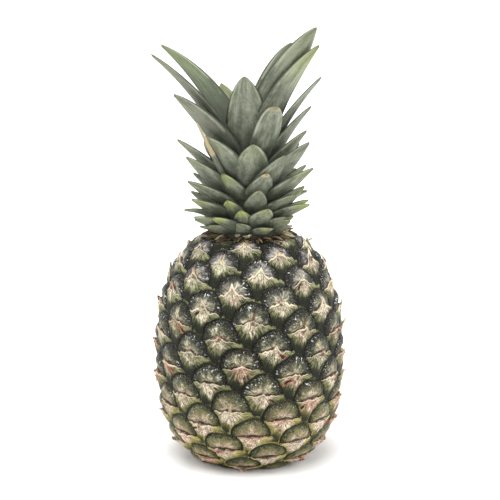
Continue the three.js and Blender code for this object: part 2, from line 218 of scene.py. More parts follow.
# Camera of the photo, in metres and degrees, its lens and sensor in millimetres
CAMERA_TARGET = Vector((0.00077, 0.0, 0.1355))
CAMERA_DISTANCE = 1.012
CAMERA_ELEVATION = 12.2
CAMERA_ROLL = -0.36
CAMERA_LENS = 113.7
CAMERA_SENSOR = 36


def chance(seed):
    """A repeatable random number from 0 to 1 for each number in seed."""
    x = np.sin(np.asarray(seed, float) * 127.1 + 311.7) * 43758.5453
    return x - np.floor(x)


def direction(azimuth):
    """Level unit direction at an azimuth in degrees: 0 is the front and 90 the right side."""
    a = np.radians(np.asarray(azimuth, float) - 90)
    return np.cos(a), np.sin(a)


def smooth(x, low, high):
    """Smooth step from 0 at low to 1 at high."""
    t = np.clip((x - low) / (high - low), 0, 1)
    return t * t * (3 - 2 * t)


def fruit_outline():
    """Radius, height and eye number along the skin, from the stalk hollow up to the crown."""
    lowest = (WIDEST_HEIGHT / LOWER_DEPTH) ** (LOWER_ROUNDNESS / 2)
    highest = ((FRUIT_TOP - WIDEST_HEIGHT) / UPPER_DEPTH) ** (UPPER_ROUNDNESS / 2)
    base = SKIN_RADIUS * (1 - lowest**2) ** (1 / LOWER_ROUNDNESS)
    t = np.linspace(0, 1, 160, endpoint=False)
    hollow_r = BASE_HOLLOW_RADIUS + (base - BASE_HOLLOW_RADIUS) * t
    hollow_z = BASE_HOLLOW_DEPTH * (1 - t) ** 2
    angle = np.linspace(-math.asin(lowest), math.asin(highest), 321)
    below = angle < 0
    power = 2 / np.where(below, LOWER_ROUNDNESS, UPPER_ROUNDNESS)
    depth = np.where(below, LOWER_DEPTH, UPPER_DEPTH)
    side_r = SKIN_RADIUS * np.cos(angle) ** power
    side_z = WIDEST_HEIGHT + np.sign(angle) * depth * np.abs(np.sin(angle)) ** power
    r = np.concatenate([hollow_r, side_r])
    z = np.concatenate([hollow_z, side_z])
    length = np.hypot(np.diff(r), np.diff(z))
    rise = RISE_PER_EYE * (SKIN_RADIUS / ((r[1:] + r[:-1]) / 2)) ** CROWDING
    eye = np.concatenate([[0], np.cumsum(length / rise)])
    first = np.argmax((r > SKIN_RADIUS / 2) & (z > FIRST_EYE_HEIGHT))
    return r, z, eye - eye[first], np.concatenate([rise, rise[-1:]])


OUTLINE_R, OUTLINE_Z, OUTLINE_EYE, OUTLINE_RISE = fruit_outline()
LOWEST_EYE = float(OUTLINE_EYE[0])
HIGHEST_EYE = float(OUTLINE_EYE[-1])
SLOPE_R = np.gradient(OUTLINE_R)
SLOPE_Z = np.gradient(OUTLINE_Z)


def skin_at(eye):
    """Radius, height, unit slope and local rise of the skin at eye numbers."""
    r = np.interp(eye, OUTLINE_EYE, OUTLINE_R)
    z = np.interp(eye, OUTLINE_EYE, OUTLINE_Z)
    dr = np.interp(eye, OUTLINE_EYE, SLOPE_R)
    dz = np.interp(eye, OUTLINE_EYE, SLOPE_Z)
    length = np.hypot(dr, dz)
    return r, z, dr / length, dz / length, np.interp(eye, OUTLINE_EYE, OUTLINE_RISE)


def relief_scale(eye):
    """Share of the full relief at eye numbers: less on smaller eyes, none at both ends."""
    r, _, _, _, rise = skin_at(eye)
    fade = np.minimum(eye - LOWEST_EYE, HIGHEST_EYE - eye) / FADE_EYES
    return np.sqrt(r / SKIN_RADIUS * np.minimum(1, rise / RISE_PER_EYE)) * np.clip(fade, 0, 1)


def skin_point(eye, turn, height):
    """Places at a height over the skin, as an array of millimetres."""
    r, z, dr, dz, _ = skin_at(eye)
    x, y = direction(FIRST_EYE_AZIMUTH + turn)
    radius = r + height * dz
    return np.stack([x * radius, y * radius, np.maximum(0, z - height * dr)], -1)


def eye_units(eye):
    """Width and height of one eye in lattice units: its shape stays where the fruit narrows."""
    r, _, _, _, rise = skin_at(eye)
    wide = r / SKIN_RADIUS
    tall = rise / RISE_PER_EYE
    pitch = np.sqrt(wide * tall)
    return pitch / wide, pitch / tall


def crease_height(eye, u):
    """How far the crease of an eye rises in its middle and sinks at its sides."""
    peak = 0.6 + 2.4 * smooth(eye, -25, 30) * (0.4 + 0.9 * chance(eye + 11))
    droop = 0.4 + 1.8 * smooth(eye, -20, 35)
    wave = 0.35 * np.sin(u * 0.9 + 20 * chance(eye + 31))
    return peak * np.exp(-((u / 4.2) ** 2)) - droop * np.clip(np.abs(u) / 12, 0, 1.4) ** 1.4 + wave


def eye_identity(eye):
    """Two random numbers of an eye, and its level from 0 at the foot to 1 at the shoulder."""
    return chance(eye + 3), chance(eye + 17), eye_level(eye)


def eye_level(eye):
    return (eye + LEVEL_START) / LEVEL_EYES


def dome_shape(u, v):
    """Reach from an eye's middle (0) to its rim (1), and the height of its dome."""
    power = DOME_ROUNDNESS
    reach = np.abs(u / DOME_HALF_WIDTH) ** power + np.abs(v / DOME_HEIGHT) ** power
    reach = reach ** (1 / power)
    swell = DOME_RELIEF * np.clip(1 - reach**3.2, 0, 1) ** 0.7
    middle = np.clip(1 - (u / DOME_HALF_WIDTH) ** 2, 0, 1)
    hollow = CREASE_HOLLOW * np.exp(-((v / 4.5) ** 2)) * middle
    angle = np.abs(np.arctan2(u, np.maximum(v, 0.01)))
    seam = LOBE_SEAM * np.exp(-(((angle - 0.6) / 0.12) ** 2))
    seam = seam * smooth(reach, 0.1, 0.4) * smooth(reach, 1.0, 0.8)
    return reach, np.maximum(swell - hollow - seam, 0)


def ribbed_dome(eye, u, v, above):
    """Reach and height of an eye's dome with its uneven rim and its ribs."""
    angle = np.arctan2(u, np.maximum(above, 0.01))
    phase = 9 * chance(eye + 77)
    size = 0.97 + 0.08 * chance(eye + 5)
    size = size + 0.04 * np.sin(3 * angle + phase) + 0.025 * np.sin(5 * angle + 2.3 * phase)
    reach, dome = dome_shape(u / size, v / size)
    rib = np.sin(14 * angle + phase) + np.sin(23 * angle + 2 * phase + 3 * reach)
    return reach, np.maximum(dome + RIB_RELIEF * rib * reach * np.clip(1.1 - reach, 0, 1), 0)


def scar_place(eye, u, above):
    """Distance from the small torn hole that some bracts have: inside it below 1."""
    side = np.sign(chance(eye + 210) - 0.5)
    torn = chance(eye + 220) > 0.62
    slant = above + 2.8 + 0.35 * side * (u - side * 4)
    along = (u - side * (3 + 3.5 * chance(eye + 230))) / 2.6
    down = slant / (0.9 + 0.8 * chance(eye + 240))
    return np.where(torn, np.hypot(along, down), FAR_OFF)


def bract_detail(eye, u, above, far):
    """Height over a bract's plain slope: ridge, fan of fibres, wings at its sides and torn hole."""
    ridge = BRACT_RIDGE * np.exp(-((u / 2.2) ** 2)) * np.clip(1 - far, 0, 1)
    rays = np.arctan2(u, np.minimum(above, -0.01))
    fan = 0.25 * np.sin(9 * rays + 9 * chance(eye + 77)) * np.clip(far * (1 - far) * 4, 0, 1)
    wing = smooth(np.abs(u), 8, 11) * smooth(np.abs(u), 17, 13) * np.exp(-((above + 0.8) ** 2))
    pit = SCAR_DEPTH * smooth(scar_place(eye, u, above), 1.1, 0.6)
    return ridge + fan + WING_RELIEF * wing - pit


def eye_relief(a, b):
    """Height, owning eye, place in it, dome or not, and distance from a rim, over the lattice."""
    shape = a.shape
    height = np.full(shape, -1.0)
    owner, bract_owner = np.zeros(shape), np.zeros(shape)
    place, bract_place = np.zeros(shape + (3,)), np.zeros(shape + (3,))
    bract, gap = np.full(shape, FAR_OFF), np.full(shape, FAR_OFF)
    detail = np.zeros(shape)
    fa, fb = np.floor(a), np.floor(b)
    for i, j in product(NEIGHBOURS, NEIGHBOURS):
        eye = SHALLOW_STEP * (fa + i) + STEEP_STEP * (fb + j)
        da, db = a - fa - i, b - fb - j
        wide, tall = eye_units(eye)
        u = (da * SHALLOW_TURN + db * STEEP_TURN) * math.radians(SKIN_RADIUS) / wide
        v = (da * SHALLOW_STEP + db * STEEP_STEP) * RISE_PER_EYE / tall
        above = v - crease_height(eye, u)
        reach, dome = ribbed_dome(eye, u, v, above)
        take = (above > 0) & (reach < 1) & (dome > height)
        height = np.where(take, dome, height)
        owner = np.where(take, eye, owner)
        place = np.where(take[..., None], np.stack([u, above, reach], -1), place)
        gap = np.minimum(gap, np.where(above > -1.0, np.abs(reach - 1), FAR_OFF))
        far = np.hypot(u / BRACT_SPREAD, above / BRACT_LENGTH)
        take = (above <= 0) & (far < bract)
        bract = np.where(take, far, bract)
        bract_owner = np.where(take, eye, bract_owner)
        bract_place = np.where(take[..., None], np.stack([u, above, far], -1), bract_place)
        detail = np.where(take, bract_detail(eye, u, above, far), detail)
    bract = 0.5 + BRACT_RELIEF * np.clip(1 - bract, 0, 1) ** 0.9 + detail
    is_dome = height >= 0
    height = np.where(is_dome, height, bract * smooth(gap, 0.0, GROOVE_WIDTH))
    owner = np.where(is_dome, owner, bract_owner)
    place = np.where(is_dome[..., None], place, bract_place)
    return height - GROOVE_DEPTH, owner, place, is_dome.astype(float), gap


def lattice():
    """Grid places round the fruit as arrays a and b, and the triangles between them."""
    around = STEEP_STEP * CELLS
    low = math.ceil(LOWEST_EYE * CELLS)
    high = math.floor(HIGHEST_EYE * CELLS)
    b_low = math.floor((low - SHALLOW_STEP * around) / STEEP_STEP) - 2
    b_high = math.ceil(high / STEEP_STEP) + 2
    a, b = np.meshgrid(np.arange(around), np.arange(b_low, b_high + 1), indexing="ij")
    eye = SHALLOW_STEP * a + STEEP_STEP * b
    inside = (eye >= low) & (eye <= high)
    numbers = np.full(a.shape, -1)
    numbers[inside] = np.arange(inside.sum())

    def number(i, j):
        turns = i // around
        i = i - turns * around
        j = j + turns * SHALLOW_STEP * CELLS - b_low
        good = (j >= 0) & (j < numbers.shape[1])
        return np.where(good, numbers[i, np.clip(j, 0, numbers.shape[1] - 1)], -1)

    corners = [number(a, b), number(a + 1, b), number(a + 1, b + 1), number(a, b + 1)]
    lower = np.stack([corners[0], corners[1], corners[2]], -1).reshape(-1, 3)
    upper = np.stack([corners[0], corners[2], corners[3]], -1).reshape(-1, 3)
    faces = np.concatenate([lower, upper])
    return a[inside] / CELLS, b[inside] / CELLS, faces[(faces >= 0).all(axis=1)]


def open_edges(faces):
    """Edges that have a face on one side only."""
    edges = np.concatenate([faces[:, [0, 1]], faces[:, [1, 2]], faces[:, [2, 0]]])
    keys = {tuple(e) for e in edges.tolist()}
    return [e for e in keys if (e[1], e[0]) not in keys]


def placed(name, data):
    """A new object in the scene."""
    thing = bpy.data.objects.new(name, data)
    bpy.context.collection.objects.link(thing)
    return thing


def mesh_object(name, points, faces, **attributes):
    """A smooth mesh piece from millimetre points, with a vector per point in each attribute."""
    mesh = bpy.data.meshes.new(name)
    mesh.from_pydata((np.asarray(points) * MM).tolist(), [], [list(f) for f in faces])
    mesh.validate()
    for key, vectors in attributes.items():
        attribute = mesh.attributes.new(key, "FLOAT_VECTOR", "POINT")
        attribute.data.foreach_set("vector", np.asarray(vectors, float).ravel())
    mesh.shade_smooth()
    piece = placed(name, mesh)
    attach(piece, "root")
    return piece


def fruit_piece():
    """The skin of the fruit, closed at the stalk and under the crown."""
    a, b, faces = lattice()
    eye = SHALLOW_STEP * a + STEEP_STEP * b
    turn = a * SHALLOW_TURN + b * STEEP_TURN
    height, owner, place, is_dome, gap = eye_relief(a, b)
    points = skin_point(eye, turn, height * relief_scale(eye))
    bottom, top = len(points), len(points) + 1
    points = np.concatenate([points, [[0, 0, BASE_HOLLOW_DEPTH + 1], [0, 0, FRUIT_TOP]]])
    caps = [(q, p, top if points[p][2] > WIDEST_HEIGHT else bottom) for p, q in open_edges(faces)]
    faces = np.concatenate([faces, caps])
    scar = np.minimum(scar_place(owner, place[:, 0], place[:, 1]), 9)
    fields = (place, np.stack(eye_identity(owner), -1), np.stack([is_dome, gap, scar], -1))
    place, identity, masks = (np.concatenate([field, np.zeros((2, 3))]) for field in fields)
    return mesh_object("fruit_skin", points, faces, place=place, identity=identity, masks=masks)


def blade(s, centre, side, up, half, wrap, thickness, edge):
    """A closed blade with an arc for its section. The arrays give a value for each station s."""
    last = len(s) - 1
    t = np.linspace(-1, 1, BLADE_ACROSS + 1)
    bend = wrap[:, None] * t
    radius = (half / wrap)[:, None]
    depth = thickness + (edge - thickness) * t**2
    depth = np.minimum(depth, BLADE_TIP_THICKNESS + half[:, None])
    place, inward = radius * np.sin(bend), radius * (1 - np.cos(bend))
    base = centre[:, None] + side[:, None] * place[..., None] + up[:, None] * inward[..., None]
    away = side[:, None] * np.sin(bend)[..., None] - up[:, None] * np.cos(bend)[..., None]
    rings = np.concatenate([base, (base + away * depth[..., None])[:, ::-1]], 1)
    count = rings.shape[1]
    faces = []
    for i in range(last):
        for j in range(count):
            k = (j + 1) % count
            faces.append((i * count + k, i * count + j, (i + 1) * count + j, (i + 1) * count + k))
    faces.append(tuple(range(count)))
    faces.append(tuple(reversed(range(last * count, (last + 1) * count))))
    across = np.tile(np.concatenate([t, t[::-1]]), len(s))
    face_side = np.tile(np.repeat([1.0, -1.0], BLADE_ACROSS + 1), len(s))
    return rings.reshape(-1, 3), faces, np.repeat(s, count), across, face_side


def lattice_place(eye, u, v):
    """Lattice coordinates of a place u across and v above an eye's middle, in eye units."""
    wide, tall = eye_units(eye)
    turn = u * wide / math.radians(SKIN_RADIUS)
    rise = v * tall / RISE_PER_EYE
    a0 = (STEP_INVERSE * eye) % STEEP_STEP
    b0 = (eye - SHALLOW_STEP * a0) / STEEP_STEP
    whole = SHALLOW_TURN * STEEP_STEP - STEEP_TURN * SHALLOW_STEP
    a = a0 + (turn * STEEP_STEP - STEEP_TURN * rise) / whole
    b = b0 + (SHALLOW_TURN * rise - SHALLOW_STEP * turn) / whole
    return a, b


def eye_point(eye, u, v, height):
    """Point at a height over the skin, u across and v above an eye's middle; and its turn."""
    wide, tall = eye_units(eye)
    turn = eye * DIVERGENCE + u * wide / math.radians(SKIN_RADIUS)
    return skin_point(eye + v * tall / RISE_PER_EYE, turn, height), turn


def husk_edge(eye, u):
    """How far the edge of a husk stands above the crease: a thorn in the middle, torn sides."""
    thorn = HUSK_THORN * (0.12 + 0.9 * chance(eye + 300) ** 1.8)
    thorn = thorn * (0.5 + 0.7 * smooth(eye, -30, 35))
    lean = (chance(eye) - 0.5) * 3.0
    stout = 0.8 + 0.9 * chance(eye + 8)
    spike = thorn * np.exp(-((np.abs(u - lean) / stout) ** 1.2))
    torn = 0.3 * np.sin(1.9 * u + 9 * chance(eye + 61))
    torn = torn + 0.2 * np.sin(4.3 * u + 5 * chance(eye + 62))
    middle = 5 * np.sign(chance(eye + 64) - 0.5)
    bite = 1.7 * chance(eye + 63) * np.exp(-(((u - middle) / 2.0) ** 2))
    return 0.35 + spike + torn - bite


def husk_grid(eye):
    """Places u across and v up on a husk, the crease there, and the way up from 0 to 1."""
    u = np.linspace(-1, 1, HUSK_COLUMNS + 1)
    u = HUSK_HALF_WIDTH * np.sign(u) * np.abs(u) ** 1.3
    crease = crease_height(eye, u)
    depth = HUSK_DEPTH * (0.35 + 0.9 * chance(eye + 45) ** 1.5)
    bow = np.sqrt(np.clip(1 - (u / (HUSK_HALF_WIDTH + 0.5)) ** 2, 0, 1))
    low = crease - depth * bow - 0.2
    fade = smooth(np.abs(u), HUSK_HALF_WIDTH, HUSK_HALF_WIDTH - 3)
    edge = crease + husk_edge(eye, u) * fade
    t = np.linspace(0, 1, HUSK_ROWS + 1)[:, None]
    v = low + (edge - low) * t
    return np.broadcast_to(u, v.shape), v, crease, t


def husk(eye):
    """The dry fibrous front of one bract: a thin shell that lifts off the skin along the crease."""
    u, v, crease, t = husk_grid(eye)
    a, b = lattice_place(eye, u, np.minimum(v, crease - 0.3))
    ground = eye_relief(a, b)[0]
    lift = HUSK_LIFT * (0.6 + 0.8 * chance(eye + 600))
    spread = smooth(np.abs(u), HUSK_HALF_WIDTH, 2)
    wave = 0.25 * np.sin(u * 1.7 + 12 * chance(eye + 70)) * t
    curl = np.maximum(v - crease, 0) * (0.08 + 0.7 * chance(eye + 41) ** 2)
    rise = -HUSK_SUNK + (HUSK_SUNK + lift * spread + wave) * t**1.3 + curl
    height = (ground + rise) * float(relief_scale(eye))
    outer, _ = eye_point(eye, u, v, height)
    inner, _ = eye_point(eye, u, v, height - HUSK_THICKNESS)
    return shell(outer, inner, np.broadcast_to(t, v.shape), u / HUSK_HALF_WIDTH)


def shell(outer, inner, along, across):
    """A closed thin shell between two grids of points."""
    rows, columns = along.shape
    count = rows * columns
    points = np.concatenate([outer.reshape(-1, 3), inner.reshape(-1, 3)])
    faces = []
    for i in range(rows - 1):
        for j in range(columns - 1):
            p = i * columns + j
            quad = (p, p + 1, p + columns + 1, p + columns)
            faces.append(quad)
            faces.append(tuple(count + k for k in reversed(quad)))
    rim = list(range(columns))
    rim += [i * columns + columns - 1 for i in range(1, rows)]
    rim += [(rows - 1) * columns + j for j in range(columns - 2, -1, -1)]
    rim += [i * columns for i in range(rows - 2, 0, -1)]
    for p, q in zip(rim, rim[1:] + rim[:1]):
        faces.append((q, p, count + p, count + q))
    side = np.concatenate([np.ones(count), -np.ones(count)])
    return points, faces, np.tile(along.ravel(), 2), np.tile(across.ravel(), 2), side


def joined(name, parts, seeds):
    """One mesh piece from many parts. Its attributes: place along, across and side; identity."""
    points, faces, place, identity = [], [], [], []
    count = 0
    for (p, f, s, t, face_side), seed in zip(parts, seeds):
        points.append(p)
        faces.extend(tuple(i + count for i in face) for face in f)
        place.append(np.stack([s, t, face_side], -1))
        identity.append(np.tile(seed, (len(p), 1)))
        count += len(p)
    points, place, identity = map(np.concatenate, (points, place, identity))
    return mesh_object(name, points, faces, place=place, identity=identity)


def spine(eye):
    """A dry spine that rises from the middle of a bract's edge and curls away from the skin."""
    s = np.linspace(0, 1, SPINE_STATIONS + 1)
    length = SPINE_LENGTH * (0.25 + 0.75 * chance(eye + 700) ** 2)
    stand = SPINE_STAND * chance(eye + 710) ** 1.5
    lean = 7 * (chance(eye + 720) - 0.5)
    u = 1.5 * (chance(eye) - 0.5) + lean * s**1.6
    v = crease_height(eye, u) - 2 + length * (s - 0.3 * stand / SPINE_STAND * s**2)
    a, b = lattice_place(eye, u, v)
    ground = eye_relief(a, b)[0] * float(relief_scale(eye))
    centre, turn = eye_point(eye, u, v, np.maximum(ground, -1) + 0.2 + stand * s**1.5)
    heading = np.gradient(centre, axis=0)
    heading /= np.linalg.norm(heading, axis=1)[:, None]
    x, y = direction(FIRST_EYE_AZIMUTH + turn)
    side = np.cross(heading, np.stack([x, y, 0 * x], -1))
    side /= np.linalg.norm(side, axis=1)[:, None]
    up = np.cross(side, heading)
    half = SPINE_HALF_WIDTH * (0.6 + 0.8 * chance(eye + 730)) * (1 - s) ** 0.8 + 0.1
    wrap = np.full(len(s), math.radians(SPINE_WRAP))
    return blade(s, centre, side, up, half, wrap, SPINE_THICKNESS, SPINE_EDGE)


def dressed_eyes(bare_foot):
    """Numbers of the eyes between the bare ones at the foot and at the top."""
    return range(math.ceil(LOWEST_EYE + bare_foot), math.floor(HIGHEST_EYE - BARE_TOP))


def spine_piece():
    numbers = [n for n in dressed_eyes(SPINELESS_FOOT) if chance(n + 740) > SPINELESS_SHARE]
    seeds = [(chance(n + 3), chance(n + 750), eye_level(n)) for n in numbers]
    return joined("spines", [spine(n) for n in numbers], seeds)


def husk_piece():
    numbers = dressed_eyes(HUSKLESS_FOOT)
    return joined("husks", [husk(n) for n in numbers], [eye_identity(n) for n in numbers])


def stem_radius(height):
    heights, radii = zip(*STEM_OUTLINE)
    return float(np.interp(height, heights, radii))


def leaf_width(s, bluntness):
    """Share of a leaf's full width at s: a little narrower at the root, none at the tip."""
    root = LEAF_ROOT_WIDTH + (1 - LEAF_ROOT_WIDTH) * smooth(s, -0.1, 0.4)
    return root * np.clip(1 - s**bluntness, 0, 1) ** (1.15 - 0.13 * bluntness)


def leaf_path(root, tip_radius, tip_height, arch, t):
    """Radius and height along a leaf's arch, and its heading there."""
    start = np.array([stem_radius(root) - LEAF_SUNK, root])
    end = np.array([tip_radius, tip_height], float)
    chord = end - start
    middle = (start + end) / 2 + arch * np.array([-chord[1], chord[0]])
    path = (1 - t) ** 2 * start + 2 * t * (1 - t) * middle + t**2 * end
    heading = 2 * (1 - t) * (middle - start) + 2 * t * (end - middle)
    return path, heading / np.linalg.norm(heading, axis=1)[:, None]


def leaf(azimuth, root, tip_radius, tip_height, arch, width, bluntness, twist, seed):
    """One leaf: an arched channelled blade with a slight twist and wave."""
    x, y = direction(azimuth)
    out = np.array([x, y, 0.0])
    across = np.array([-y, x, 0.0])
    upright = np.array([0, 0, 1.0])
    s = 1 - (1 - np.linspace(0, 1, LEAF_STATIONS + 1)) ** 1.25
    path, heading = leaf_path(root, tip_radius, tip_height, arch, s[:, None])
    wave = 0.5 * np.sin(3.2 * s + 6 * chance(seed + 2)) * s
    centre = out * path[:, :1] + upright * path[:, 1:] + across * wave[:, None]
    inward = out * -heading[:, 1:] + upright * heading[:, :1]
    turn = math.radians(twist) * (0.35 + 0.65 * s) + 0.3 * (chance(seed + 4) - 0.5) * s**1.5
    turn = turn[:, None]
    side = across * np.cos(turn) + inward * np.sin(turn)
    up = inward * np.cos(turn) - across * np.sin(turn)
    half = width / 2 * leaf_width(s, bluntness) + 0.12
    wrap = np.radians(LEAF_WRAP + (LEAF_TIP_WRAP - LEAF_WRAP) * smooth(s, -0.3, 0.9))
    return blade(s, centre, side, up, half, wrap, LEAF_THICKNESS, LEAF_EDGE)


def far_leaf(n):
    """Row of a leaf on the far side, in the order of the shown leaves' rows."""
    t = (n / (FAR_LEAVES - 1)) ** 1.3
    spread = FAR_FOOT_SPREAD + (FAR_TOP_SPREAD - FAR_FOOT_SPREAD) * t
    azimuth = 180 - spread / 2 + ((n * DIVERGENCE / 360 + FAR_START) * spread) % spread
    root = FAR_LOWEST + (FAR_HIGHEST - FAR_LOWEST) * t
    tip_radius = 33 + 14 * t + 4 * (chance(n) - 0.5)
    tip_height = root + 11 + 38 * t**1.3 + 6 * (chance(n + 40) - 0.5)
    return azimuth, root, tip_radius, tip_height, 0.08 + 0.04 * t, 22 + 6 * t, 2.2, 0, 0, 0.2


def heart_leaf(n):
    """Row of a small upright leaf in the heart of the crown."""
    azimuth = 60 + n * DIVERGENCE
    return azimuth, HEART_ROOT, 6 + n, HEART_TIP + 3 * n, 0.02, 15, 2.6, 0, 0, 0.3


def foot_bract(n):
    """Azimuth, root, tip, arch, width, bluntness and twist of a small dried bract."""
    azimuth = n * DIVERGENCE + 30 * (chance(n + 50) - 0.5)
    cream = chance(n + 7.5) > 0.8
    tip_radius = 22 + 9 * chance(n + 70)
    tip_height = 145.2 + 7 * chance(n + 90) ** 2.5
    width = 1.6 + 4 * chance(n + 30) ** 2 + 6 * cream
    twist = 100 * (chance(n + 20) - 0.5)
    return azimuth, FOOT_BRACT_ROOT, tip_radius, tip_height, 0.14, width, 1.6, twist


def leaf_piece():
    """All leaves. Their identity: a random number, dry share and bright share."""
    rows = list(SHOWN_LEAVES)
    rows += [far_leaf(n) for n in range(FAR_LEAVES)]
    rows += [heart_leaf(n) for n in range(HEART_LEAVES)]
    seeds = [(chance(k + 0.5), *row[8:]) for k, row in enumerate(rows)]
    return joined("leaves", [leaf(*row[:8], k) for k, row in enumerate(rows)], seeds)


def bract_piece():
    numbers = range(FOOT_BRACTS)
    parts = [leaf(*foot_bract(n), n + FOOT_BRACT_SEED) for n in numbers]
    seeds = [(chance(n + 7.5), chance(n + 107.5), 0.0) for n in numbers]
    return joined("foot_bracts", parts, seeds)


def revolved(name, profile, sides):
    """A closed solid of revolution from radius and height pairs whose ends lie on the axis."""
    turn = np.linspace(0, 2 * math.pi, sides, endpoint=False)
    points = [(0, 0, profile[0][1])]
    for r, z in profile[1:-1]:
        points.extend((r * math.cos(t), r * math.sin(t), z) for t in turn)
    points.append((0, 0, profile[-1][1]))
    faces = []
    rings = len(profile) - 2
    for j in range(sides):
        k = (j + 1) % sides
        faces.append((0, 1 + k, 1 + j))
        for i in range(rings - 1):
            low, high = 1 + i * sides, 1 + (i + 1) * sides
            faces.append((low + j, low + k, high + k, high + j))
        last = 1 + (rings - 1) * sides
        faces.append((last + j, last + k, len(points) - 1))
    return mesh_object(name, points, faces)


def stem_piece():
    foot = FRUIT_TOP + STEM_GAP
    heights = np.linspace(foot, STEM_OUTLINE[-1][0], STEM_RINGS)
    profile = [(0, foot)] + [(stem_radius(z), z) for z in heights] + [(0, STEM_TOP)]
    return revolved("crown_stem", profile, STEM_SIDES)


def stalk_piece():
    return revolved("stalk_end", STALK_FACE + STALK_SIDE, STALK_SIDES)


class Graph:
    """Builds the node tree of a material."""

    def __init__(self, name):
        self.material = bpy.data.materials.new(name)
        self.material.use_nodes = True
        self.nodes = self.material.node_tree.nodes
        self.links = self.material.node_tree.links
        self.shader = self.nodes["Principled BSDF"]

    def put(self, socket, value):
        if isinstance(value, bpy.types.NodeSocket):
            self.links.new(value, socket)
        else:
            socket.default_value = value

    def attribute(self, name):
        """The three numbers of a point attribute."""
        node = self.nodes.new("ShaderNodeAttribute")
        node.attribute_name = name
        split = self.nodes.new("ShaderNodeSeparateXYZ")
        self.links.new(node.outputs["Vector"], split.inputs[0])
        return split.outputs

    def math(self, operation, *values):
        node = self.nodes.new("ShaderNodeMath")
        node.operation = operation
        for socket, value in zip(node.inputs, values):
            self.put(socket, value)
        return node.outputs[0]

    def add(self, a, b):
        return self.math("ADD", a, b)

    def sub(self, a, b):
        return self.math("SUBTRACT", a, b)

    def mul(self, a, b):
        return self.math("MULTIPLY", a, b)

    def step(self, value, low, high, out_low=0.0, out_high=1.0):
        """Smooth step from out_low at low to out_high at high."""
        node = self.nodes.new("ShaderNodeMapRange")
        node.interpolation_type = "SMOOTHSTEP"
        self.put(node.inputs["Value"], value)
        self.put(node.inputs["From Min"], low)
        self.put(node.inputs["From Max"], high)
        self.put(node.inputs["To Min"], out_low)
        self.put(node.inputs["To Max"], out_high)
        return node.outputs[0]

    def vector(self, x, y, z):
        node = self.nodes.new("ShaderNodeCombineXYZ")
        for socket, value in zip(node.inputs, (x, y, z)):
            self.put(socket, value)
        return node.outputs[0]

    def position(self, scale):
        """Place on the object, stretched by a scale for each axis."""
        coords = self.nodes.new("ShaderNodeTexCoord")
        node = self.nodes.new("ShaderNodeVectorMath")
        node.operation = "MULTIPLY"
        self.links.new(coords.outputs["Object"], node.inputs[0])
        node.inputs[1].default_value = scale
        return node.outputs[0]

    def noise(self, vector, scale, detail=3.0, roughness=0.6):
        node = self.nodes.new("ShaderNodeTexNoise")
        self.put(node.inputs["Vector"], vector)
        node.inputs["Scale"].default_value = scale
        node.inputs["Detail"].default_value = detail
        node.inputs["Roughness"].default_value = roughness
        return node.outputs["Fac"]

    def speckle(self, scale, detail, roughness):
        """Even noise all over the object."""
        return self.noise(self.position((1, 1, 1)), scale, detail, roughness)

    def fibres(self, across, along, seed, scale, detail, roughness):
        """Noise over two directions, each a pair of a coordinate and how finely it is drawn."""
        place = self.vector(self.mul(*across), self.mul(*along), seed)
        return self.noise(place, scale, detail, roughness)

    def swing(self, noise, size):
        """A noise that swings evenly round 0."""
        return self.mul(self.sub(noise, 0.5), size)

    def mix(self, factor, a, b):
        node = self.nodes.new("ShaderNodeMix")
        node.data_type = "RGBA"
        self.put(node.inputs["Factor"], factor)
        self.put(node.inputs["A"], a)
        self.put(node.inputs["B"], b)
        return node.outputs["Result"]

    def finish(self, colour, roughness, bump, distance, specular=0.5):
        self.put(self.shader.inputs["Base Color"], colour)
        self.put(self.shader.inputs["Roughness"], roughness)
        self.shader.inputs["Specular IOR Level"].default_value = specular
        node = self.nodes.new("ShaderNodeBump")
        node.inputs["Strength"].default_value = 1.0
        node.inputs["Distance"].default_value = distance
        self.put(node.inputs["Height"], bump)
        self.links.new(node.outputs["Normal"], self.shader.inputs["Normal"])
        return self.material


def srgb(red, green, blue):
    """A colour from 0-255 display values."""
    def linear(c):
        c /= 255
        return c / 12.92 if c <= 0.04045 else ((c + 0.055) / 1.055) ** 2.4

    return linear(red), linear(green), linear(blue), 1.0


# Colours of the eyes: at the foot, in the middle and at the shoulder of the fruit
DOME_BODY = (srgb(108, 106, 64), srgb(36, 41, 26), srgb(40, 38, 39))
DOME_HAZE = (srgb(158, 136, 106), srgb(100, 102, 78), srgb(142, 137, 131))
DOME_INNER = (srgb(248, 218, 186), srgb(230, 225, 188), srgb(222, 218, 210))
DOME_RIM = (srgb(58, 62, 34), srgb(12, 15, 10), srgb(14, 14, 15))
FAN = (srgb(255, 240, 220), srgb(255, 240, 212), srgb(244, 238, 206))
FAN_PINK = (srgb(248, 192, 168), srgb(234, 188, 166), srgb(216, 194, 178))
FAN_SHADE = (srgb(122, 90, 62), srgb(66, 66, 40), srgb(74, 78, 48))
WING = (srgb(200, 190, 108), srgb(144, 148, 100), srgb(158, 162, 116))
BRACT_FOOT = (srgb(114, 110, 58), srgb(24, 30, 12), srgb(28, 30, 14))
# black of the cracks and grooves, also painted shade down in the grooves
GROOVE_BLACK_AND_SHADE = srgb(14, 18, 6)
# painted shade of the crease slit
CREASE_SHADE = srgb(30, 22, 16)
# painted highlight: the glints on the domes
GLINT = srgb(222, 228, 222)
# dark of the torn holes, also painted shadow in the husk rents
SCAR_HOLE_AND_SHADOW = srgb(36, 22, 16)
SCAR_PINK = srgb(190, 116, 96)
LIP_CREAM = srgb(246, 228, 200)
LIP_RED = srgb(204, 132, 104)
THORN_RED = srgb(158, 84, 58)
THORN_BROWN = srgb(120, 84, 56)
SPINE_CREAM = srgb(226, 208, 170)
SPINE_BROWN = srgb(126, 100, 74)
SPINE_DARK = srgb(92, 66, 48)

